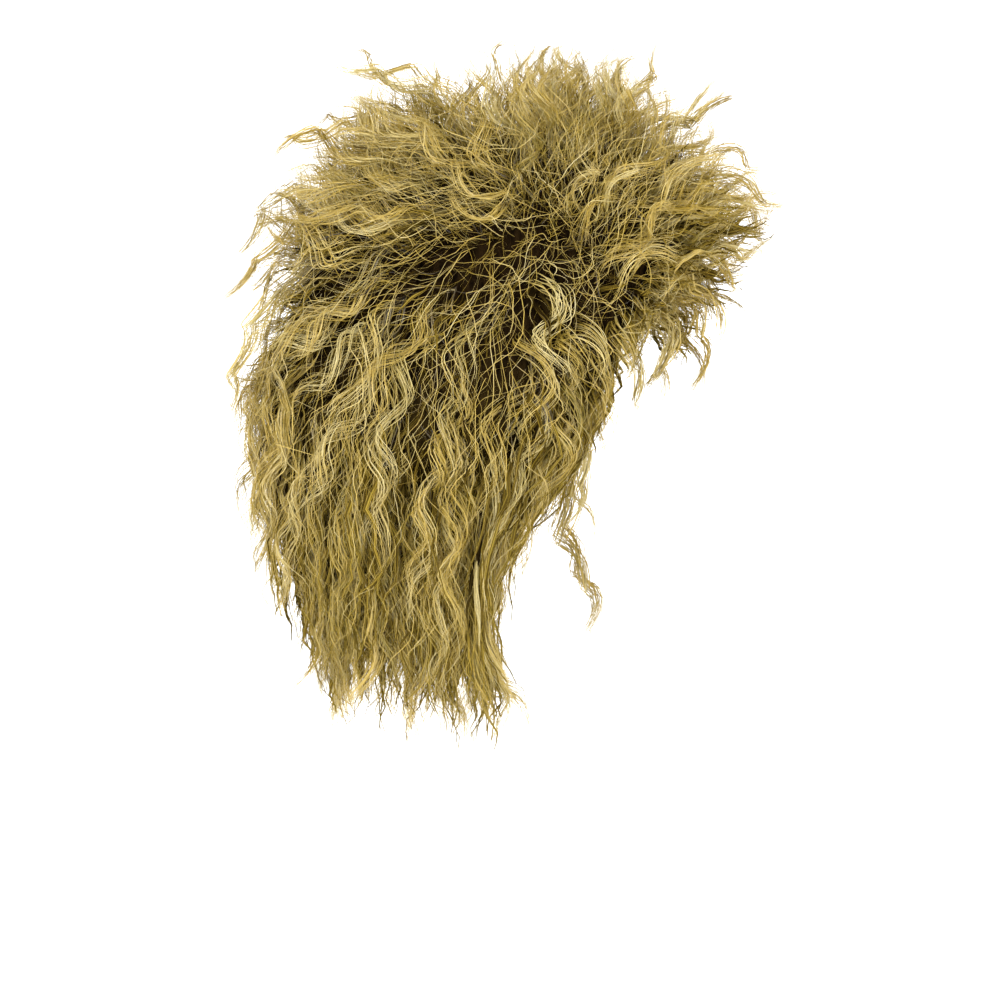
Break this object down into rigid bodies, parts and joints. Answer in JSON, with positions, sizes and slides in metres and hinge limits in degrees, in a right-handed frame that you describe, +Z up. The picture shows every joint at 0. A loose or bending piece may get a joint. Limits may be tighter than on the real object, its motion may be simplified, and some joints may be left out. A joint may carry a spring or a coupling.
{
  "type": "mullet wig",
  "caption": "Shaggy teased mullet wig on a thin stretch cap, with a spiky crown and fringe, layered sides and a long tail, hollow for the head.",
  "frame": {"origin": "crown of the head, where the inside of the cap rests on it", "axes": "+X forward (the face), +Y to the wearer's left, +Z up"},
  "size_m": [0.3653, 0.3267, 0.4675],
  "materials": {
    "cap": "matte knitted stretch net",
    "hair": "crimped synthetic fibre with a soft sheen, dark at the roots"
  },
  "bodies": {
    "root": {"cap": "cap", "crown_hair": "hair", "fringe_hair": "hair", "temple_hair_left": "hair", "temple_hair_right": "hair", "side_hair_left": "hair", "side_hair_right": "hair", "back_hair": "hair", "tail_hair": "hair"}
  },
  "joints": []
}
